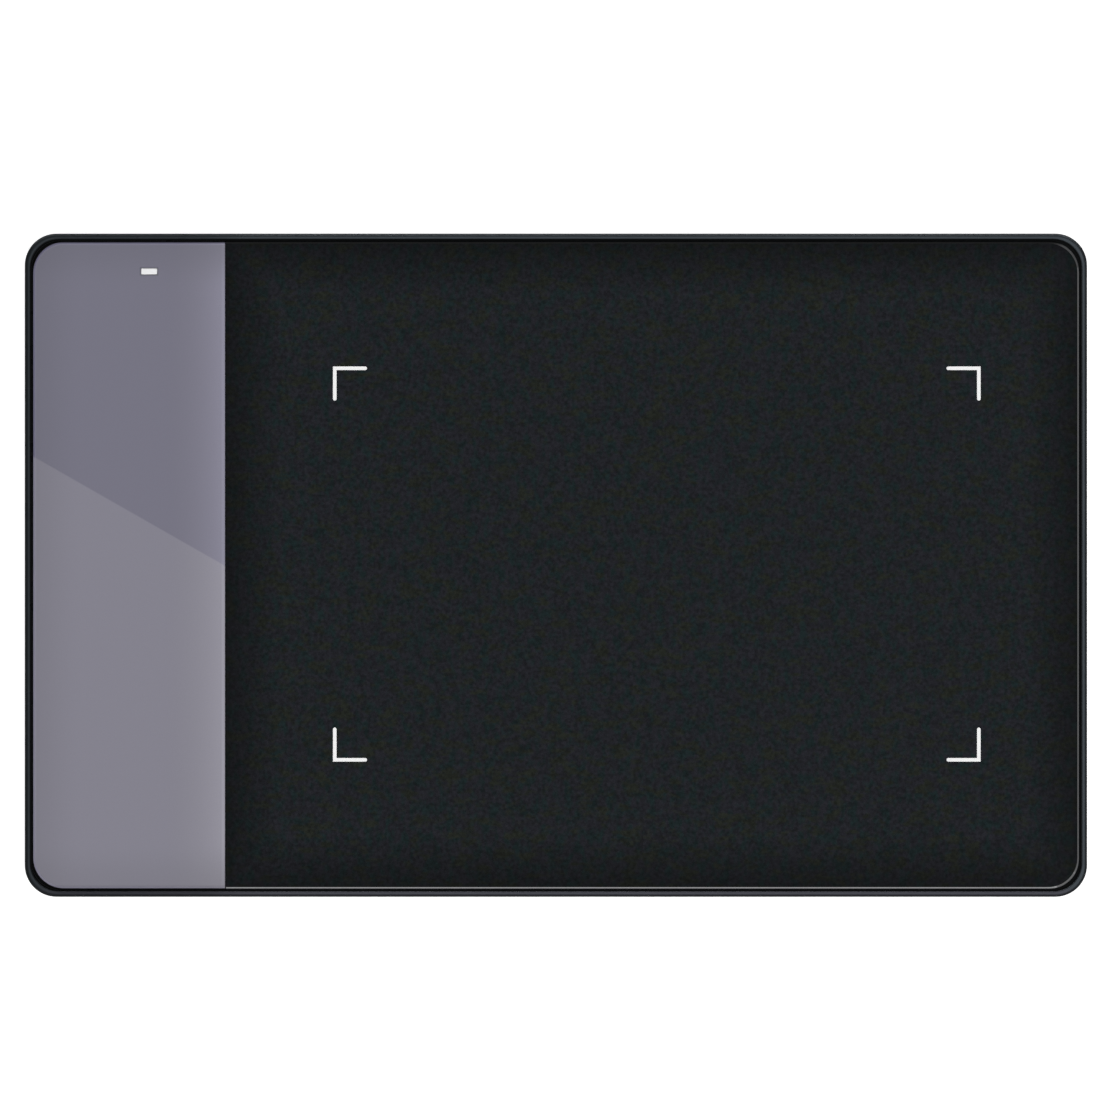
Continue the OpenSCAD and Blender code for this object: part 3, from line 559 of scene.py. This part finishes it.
def foam():
    """Closed-cell foam: small cells with open rims."""
    look = Look("foam")
    cells = look.node("TexVoronoi", {"Vector": look.place, "Scale": 1 / (0.35 * MM)}).outputs["Distance"]
    look.feed("Base Color", look.blend(cells, rgba(0.02, 0.02, 0.021), rgba(0.055, 0.055, 0.057)))
    look.feed("Roughness", look.grain(0.4 * MM, 0.85, 0.98))
    look.relief(cells, 0.08 * MM)
    return look.material


# Mottled finishes: dark and light colour, grain, range of roughness, and grain and depth of the relief.
# Grains and depths in mm.
MOTTLED = {
    "white_ink": ((0.93, 0.93, 0.93), (0.97, 0.97, 0.97), 0.3, (0.5, 0.65), (0.15, 0.004)),
    "adhesive": ((0.5, 0.48, 0.41), (0.6, 0.58, 0.5), 2, (0.3, 0.5), (0.4, 0.004)),
    "light_guide": ((0.84, 0.84, 0.85), (0.9, 0.9, 0.91), 0.4, (0.22, 0.3), (0.3, 0.002)),
    "insulating_film": ((0.42, 0.22, 0.04), (0.52, 0.3, 0.06), 4, (0.2, 0.3), (2, 0.004)),
    "led_resin": ((0.8, 0.76, 0.5), (0.88, 0.85, 0.64), 0.3, (0.12, 0.2), (0.3, 0.002)),
    "chip_resin": ((0.012, 0.012, 0.013), (0.024, 0.024, 0.025), 0.4, (0.5, 0.65), (0.08, 0.006)),
    "black_nylon": ((0.008, 0.008, 0.008), (0.014, 0.014, 0.014), 0.5, (0.45, 0.6), (0.1, 0.004)),
    "ferrite": ((0.06, 0.06, 0.065), (0.1, 0.1, 0.11), 0.2, (0.5, 0.7), (0.08, 0.006)),
    "tantalum_resin": ((0.5, 0.24, 0.03), (0.64, 0.33, 0.06), 0.4, (0.4, 0.55), (0.1, 0.005)),
    "ceramic": ((0.4, 0.28, 0.17), (0.5, 0.36, 0.23), 0.2, (0.35, 0.5), (0.06, 0.003)),
    "resistor_body": ((0.02, 0.02, 0.024), (0.04, 0.04, 0.046), 0.2, (0.2, 0.35), (0.06, 0.002)),
    "rubber": ((0.014, 0.014, 0.015), (0.026, 0.026, 0.027), 0.8, (0.78, 0.92), (0.2, 0.015)),
}
# The same for bare metals
METAL = {
    "copper": ((0.62, 0.28, 0.14), (0.8, 0.42, 0.24), 1.5, (0.25, 0.4), (0.2, 0.002)),
    "gold": ((0.75, 0.48, 0.15), (0.86, 0.6, 0.24), 0.3, (0.15, 0.25), (0.1, 0.001)),
    "tin": ((0.62, 0.62, 0.62), (0.78, 0.78, 0.77), 0.15, (0.2, 0.34), (0.1, 0.004)),
}
# The same for the coarse, dull deck under the face, which the adhesive grips; its darker colour is painted
# shade in the groove round the face
DECK = ((0.003, 0.0034, 0.0036), (0.0045, 0.005, 0.0052), 0.4, (0.85, 0.95), (0.12, 0.02))
# Brushed finishes: dark and light colour, axis of the lines, range of roughness
STEEL = ((0.5, 0.5, 0.51), (0.7, 0.7, 0.71))
BRUSHED = {
    "shield_steel": (*STEEL, 0, (0.28, 0.42)),
    "can_metal": (*STEEL, 0, (0.2, 0.3)),
    "plated_steel": (*STEEL, 1, (0.18, 0.3)),
    "screw_steel": ((0.2, 0.2, 0.21), (0.36, 0.36, 0.37), 0, (0.25, 0.4)),
}
looks = {
    "case_plastic": case_plastic(),
    "coarse_deck": mottled("coarse_deck", *DECK, Specular_IOR_Level=0.08),
    "drawing_film": drawing_film(),
    "film_edge": film_edge(),
    "panel_gloss": gloss_panel("panel_gloss", highlight_gain=1.0, gloss=0.5),
    # The bevel's finish is the panel's with a 1.86 times lighter body: a painted highlight
    "panel_edge": gloss_panel("panel_edge", highlight_gain=1.86, gloss=0.1),
    "circuit_board": circuit_board(),
    "foam": foam(),
}
looks.update({name: mottled(name, *values) for name, values in MOTTLED.items()})
looks.update({name: mottled(name, *values, Metallic=1.0) for name, values in METAL.items()})
looks.update({name: brushed(name, *values) for name, values in BRUSHED.items()})
for node in nodes.values():
    node.material_slots[0].material = looks[node.data.materials[0].name]


# Pieces

def port(grow):
    """Ring of the socket's outline, grown all round, as places along y and heights."""
    y = (socket_low.y + socket_high.y) / 2
    w = SOCKET_W / 2 + grow
    low = socket_low.z + SOCKET_FLARE - grow
    high = BOARD_Z + grow
    # The slants move out as far as the sides do
    chamfer = SOCKET_CHAMFER + (2 - math.sqrt(2)) * grow
    return [
        (y - w, low + chamfer), (y - w + chamfer, low), (y + w - chamfer, low),
        (y + w, low + chamfer), (y + w, high), (y - w, high)
    ]


def port_cut():
    """The opening for the socket, with a broken edge at the outside."""
    grow = SOCKET_FLARE + PORT_FIT
    stations = [
        (-HALF_W - THROUGH, grow + EDGE_BREAK + THROUGH), (-HALF_W + EDGE_BREAK, grow),
        (-HALF_W + PORT_DEPTH, grow)
    ]
    return loft("port", [[(x, y, z) for y, z in port(g)] for x, g in stations])


def top_cover():
    """Upper shell: rim bead, deck, seat of the side panel, bosses and lip."""
    lip_out = WALL_T + LIP_FIT
    lip_in = lip_out + LIP_T
    outer = [
        (lip_in, DECK_Z),
        (lip_in, PARTING_Z - LIP_H),
        (lip_out, PARTING_Z - LIP_H),
        (lip_out, PARTING_Z),
        (EDGE_BREAK, PARTING_Z),
        (0, PARTING_Z + EDGE_BREAK),
        *arc(RIM_OUTER_R, RIM_Z - RIM_OUTER_R, RIM_OUTER_R, 180, 90),
    ]
    inner = [*arc(-RIM_INNER_R, RIM_Z - RIM_INNER_R, RIM_INNER_R, 90, 0), (0, DECK_TOP)]
    recess = (HALF_W - RIM_W, HALF_D - RIM_W)
    rings = [rounded((HALF_W, HALF_D), CORNER_R, inset, z) for inset, z in outer]
    rings += [rounded(recess, RIM_CORNER_R, inset, z) for inset, z in inner]
    shell = loft("cover_shell", rings)
    combine(shell, "UNION", [
        turned("boss", at, [(BOSS_R, WEB_Z), (BOSS_R, DECK_Z + ROOT)]) for at in SCREWS
    ])
    split = (panel_high.x + sheet_low.x) / 2
    ledge = (recess[0] + panel_low.x) / 2
    pocket = swept(
        "pocket", recess, RIM_CORNER_R, [(ledge, SEAT_Z), (ledge, DECK_TOP + THROUGH)], right=split
    )
    flange = (guide_high - guide_low) / 2 + Vector((WINDOW_FIT, WINDOW_FIT, 0))
    well = swept(
        "well", flange, WINDOW_CORNER_R, [(0, DECK_Z - THROUGH), (0, SEAT_Z + ROOT)],
        centre=(WINDOW_X, WINDOW_Y)
    )
    combine(shell, "DIFFERENCE", [pocket])
    combine(shell, "DIFFERENCE", [well, port_cut()] + [
        turned("pilot", at, [(PILOT_R, WEB_Z - THROUGH), (PILOT_R, screws_high.z + TIP_ROOM)])
        for at in SCREWS
    ])
    stand_for(shell, "case_plastic", "top_cover")
    # The flat faces below the face take the darker deck finish, painted shade in the groove
    second_finish(shell, "coarse_deck", lambda side: side.normal.z > FLAT and side.center.z < FACE_Z)


def bottom_case():
    """Lower shell: rounded bottom edge, shadow line, posts, ribs, and the recesses of the underside."""
    shell = swept("case_shell", (HALF_W, HALF_D), CORNER_R, [
        *arc(BOTTOM_EDGE_R, CASE_Z + BOTTOM_EDGE_R, BOTTOM_EDGE_R, 270, 180),
        (0, PARTING_Z - REVEAL_H - EDGE_BREAK),
        (EDGE_BREAK, PARTING_Z - REVEAL_H),
        (REVEAL_DEPTH, PARTING_Z - REVEAL_H),
        (REVEAL_DEPTH, PARTING_Z),
        (WALL_T, PARTING_Z),
        (WALL_T, FLOOR_Z),
    ])
    low = FLOOR_Z - ROOT
    posts = [turned("post", at, [(SCREW_POST_R, low), (SCREW_POST_R, WEB_Z)]) for at in SCREWS]
    posts += [turned("post", at, [(POST_R, low), (POST_R, BOARD_Z)]) for at in POSTS]
    posts += [
        swept("rib", (SHIELD_W / 2, RIB_T / 2), ROOT, [(0, low), (0, FLOOR_Z + RIB_H)], centre=(SHIELD_X, y))
        for y in RIBS
    ]
    combine(shell, "UNION", posts)
    mouth = CASE_Z - THROUGH
    rim = CASE_Z + EDGE_BREAK
    flare = -EDGE_BREAK - THROUGH
    cuts = [
        turned("counterbore", at, [
            (COUNTERBORE_R - flare, mouth), (COUNTERBORE_R, rim), (COUNTERBORE_R, HEAD_SEAT_Z),
            (SCREW_PASS_R, HEAD_SEAT_Z), (SCREW_PASS_R, WEB_Z + THROUGH)
        ])
        for at in SCREWS
    ]
    cuts += [
        swept(
            "foot_seat", (FOOT_W / 2 + FOOT_FIT, FOOT_D / 2 + FOOT_FIT), FOOT_CORNER_R + FOOT_FIT,
            [(flare, mouth), (0, rim), (0, feet_high.z)], centre=at
        )
        for at in FEET
    ]
    cuts.append(swept(
        "label", (LABEL_W / 2, LABEL_D / 2), LABEL_CORNER_R,
        [(flare, mouth), (0, rim), (0, CASE_Z + LABEL_SINK)]
    ))
    cuts.append(port_cut())
    combine(shell, "DIFFERENCE", cuts)
    stand_for(shell, "case_plastic", "bottom_case")


def face_plate(name, half_w, bevel_w, bevel_h, low, **where):
    """Plate over the whole face, bevelled along the rim and cut off left or right of an x."""
    gap, corner_r = face_corner(half_w)
    section = [(0, low), (0, FACE_Z - bevel_h), (bevel_w, FACE_Z)]
    return swept(name, (half_w, HALF_D - RIM_W - gap), corner_r, section, **where)


def drawing_sheet():
    """Matte sheet with a polished bevel."""
    sheet = face_plate(
        "drawing_surface", sheet_high.x, SHEET_BEVEL_W, SHEET_BEVEL_H, sheet_low.z, left=sheet_low.x
    )
    stand_for(sheet, "drawing_film", "drawing_sheet")
    second_finish(sheet, "film_edge", lambda side: side.normal.z < FLAT)


def side_panel():
    """Glossy panel with the light window."""
    panel = face_plate(
        "gloss_panel", -panel_low.x, PANEL_BEVEL_W, PANEL_BEVEL_H, panel_low.z, right=panel_high.x
    )
    window = swept(
        "window", (WINDOW_W / 2 + WINDOW_FIT, WINDOW_D / 2 + WINDOW_FIT), WINDOW_CORNER_R + WINDOW_FIT,
        [(0, panel_low.z - THROUGH), (0, FACE_Z + THROUGH)], centre=(WINDOW_X, WINDOW_Y)
    )
    combine(panel, "DIFFERENCE", [window])
    stand_for(panel, "panel_gloss", "side_panel")
    second_finish(panel, "panel_edge", lambda side: side.normal.z < FLAT)


def light_guide():
    """Flanged guide whose top fills the window."""
    flange = (guide_high - guide_low) / 2
    top = (WINDOW_W / 2, WINDOW_D / 2)
    edge_r = WINDOW_CORNER_R / 2
    stations = [(flange, 0, guide_low.z), (flange, 0, SEAT_Z), (top, 0, SEAT_Z)]
    stations += [(top, inset, z) for inset, z in arc(edge_r, FACE_Z - edge_r, edge_r, 180, 90)]
    guide = loft("window_guide", [
        rounded(size, WINDOW_CORNER_R, inset, z, (WINDOW_X, WINDOW_Y)) for size, inset, z in stations
    ])
    stand_for(guide, "light_guide", "light_guide")


def feet():
    """Four feet with a rounded rubbing edge."""
    section = [*arc(FOOT_EDGE_R, FOOT_EDGE_R, FOOT_EDGE_R, 270, 180), (0, feet_high.z)]
    pads = [swept("foot", (FOOT_W / 2, FOOT_D / 2), FOOT_CORNER_R, section, centre=at) for at in FEET]
    stand_for(joined("grip_feet", pads), "rubber", "rubber_feet")


def foam_pads():
    """Six pads, squeezed flat between floor and shield, with sides that bulge."""
    half = (foam_high.z - foam_low.z) / 2
    rise = [i / ARC_STEPS for i in range(2 * ARC_STEPS + 1)]
    section = [(FOAM_BULGE * (t - 1) ** 2, foam_low.z + half * t) for t in rise]
    pads = [swept("pad", (FOAM_W / 2, FOAM_D / 2), FOAM_CORNER_R, section, centre=at) for at in FOAMS]
    whole = joined("foam_blocks", pads)
    stand_for(whole, "foam", "foam_pads")


def solids(mesh):
    """Groups of faces that hang together, one for each solid of a mesh."""
    unseen = set(mesh.faces)
    while unseen:
        group = []
        border = [unseen.pop()]
        while border:
            face = border.pop()
            group.append(face)
            near = {other for edge in face.edges for other in edge.link_faces} & unseen
            unseen -= near
            border += near
        yield group


def plated(node, slot, is_metal):
    """Copy of a node with tinned leads or ends, which are told from the middle of each of its solids."""
    mesh = bmesh.new()
    mesh.from_mesh(nodes[node].data)
    bmesh.ops.remove_doubles(mesh, verts=mesh.verts, dist=WELD)
    mesh.faces.index_update()
    metal = {}
    for group in solids(mesh):
        corners = [vert.co for face in group for vert in face.verts]
        low = Vector([min(axis) for axis in zip(*corners)])
        high = Vector([max(axis) for axis in zip(*corners)])
        for face in group:
            offset = face.calc_center_median() - (low + high) / 2
            metal[face.index] = is_metal(offset, (high - low) / 2)
    piece = shown(node + "_plated", mesh)
    stand_for(piece, slot, node)
    second_finish(piece, "tin", lambda side: metal[side.index])


def board_parts():
    """Chips with tinned leads, and two-ended parts with plated ends."""
    body = LEAD_REACH - LEAD_CLEAR
    plated("microcontroller", "chip_resin", lambda at, half: max(abs(at.x), abs(at.y)) > half.x - body)
    for node in ("analog_switches", "op_amps", "voltage_regulator", "esd_array"):
        plated(node, "chip_resin", lambda at, half: abs(at.x) > half.x - body)
    two_ended = {
        "ferrite_bead": "ferrite", "tantalum_capacitors": "tantalum_resin",
        "ceramic_capacitors": "ceramic", "chip_resistors": "resistor_body"
    }
    for node, slot in two_ended.items():
        plated(node, slot, lambda at, half: abs(at.x) > (1 - 2 * CAP_SHARE) * half.x - LEAD_CLEAR)


top_cover()
bottom_case()
drawing_sheet()
side_panel()
light_guide()
feet()
foam_pads()
board_parts()


# Stage

# Soft lights: azimuth from the front to the right, elevation, spread each way (all in degrees) and radiance
LIGHTS = {
    "top_light": (50, 76, (66, 66), 1.69),
    "strip_320": (320, 25, (41, 16), 0.62),
    "strip_0": (0, 25, (41, 16), 0.62),
    "strip_40": (40, 25, (41, 16), 0.2),
    "strip_80": (80, 25, (41, 16), 0.15),
    "back_strip": (180, 42, (90, 14), 0.9),
    "back_glow": (180, 4, (90, 7), 6.4),
    "left_strip": (270, 42, (90, 14), 0.3),
}
LIGHT_DISTANCE = 2.0
SKY_STRENGTH = 0.2
FLOOR_GLOW = 0.62
FLOOR_HALF = 4.0
# Width that the photograph shows, and the middle of it
VIEW_W = 184.11 * MM
VIEW_CENTRE = Vector((-0.99, 2.55, 0)) * MM
EYE_HEIGHT = 1.2
FILM_W = 36
FARTHEST = 20


def floor():
    """Wide pale floor that glows a little, as a light table does, and isn't mirrored in the tablet."""
    half = FLOOR_HALF
    corners = [(-half, -half, 0), (half, -half, 0), (half, half, 0), (-half, half, 0)]
    data = bpy.data.meshes.new("floor")
    data.from_pydata(corners, [], [(0, 1, 2, 3)])
    ground = bpy.data.objects.new("floor", data)
    scene.collection.objects.link(ground)
    look = Look("floor", Emission_Color=rgba(1.0, 1.0, 1.0), Emission_Strength=FLOOR_GLOW)
    tone = look.grain(40 * MM, 0.0, 1.0)
    look.feed("Base Color", look.blend(tone, rgba(0.88, 0.88, 0.88), rgba(0.9, 0.9, 0.9)))
    look.feed("Roughness", look.span(tone, 0.0, 1.0, 0.85, 0.9))
    data.materials.append(look.material)
    ground.visible_glossy = False
    ground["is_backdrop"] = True


def softbox(name, azimuth, elevation, spread, radiance):
    """Soft light that looks at the tablet and that the camera doesn't see."""
    size = [2 * LIGHT_DISTANCE * math.tan(math.radians(angle) / 2) for angle in spread]
    light = bpy.data.lights.new(name, "AREA")
    light.shape = "RECTANGLE"
    light.size, light.size_y = size
    light.energy = radiance * math.pi * size[0] * size[1]
    lamp = bpy.data.objects.new(name, light)
    scene.collection.objects.link(lamp)
    a = math.radians(azimuth)
    e = math.radians(elevation)
    towards = Vector((math.sin(a) * math.cos(e), -math.cos(a) * math.cos(e), math.sin(e)))
    lamp.location = towards * LIGHT_DISTANCE
    lamp.rotation_euler = (-towards).to_track_quat("-Z", "Y").to_euler()
    lamp.visible_camera = False


def sky():
    """Even, dim sky all round."""
    world = bpy.data.worlds.new("sky")
    world.use_nodes = True
    background = world.node_tree.nodes["Background"]
    background.inputs["Color"].default_value = rgba(1.0, 1.0, 1.0)
    background.inputs["Strength"].default_value = SKY_STRENGTH
    scene.world = world


def camera():
    """Long lens straight above, framed as in the photograph."""
    data = bpy.data.cameras.new("camera")
    data.sensor_width = FILM_W
    data.lens = FILM_W * EYE_HEIGHT / VIEW_W
    data.clip_end = FARTHEST
    eye = bpy.data.objects.new("camera", data)
    scene.collection.objects.link(eye)
    eye.location = VIEW_CENTRE + Vector((0, 0, RIM_Z - RIM_OUTER_R + EYE_HEIGHT))
    scene.camera = eye
    scene.view_settings.view_transform = "Standard"


floor()
for name, light in LIGHTS.items():
    softbox(name, *light)
sky()
camera()

boxes = {"cad": cad_box, "visual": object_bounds()}
{name: [list(corner) for corner in box] for name, box in boxes.items()}
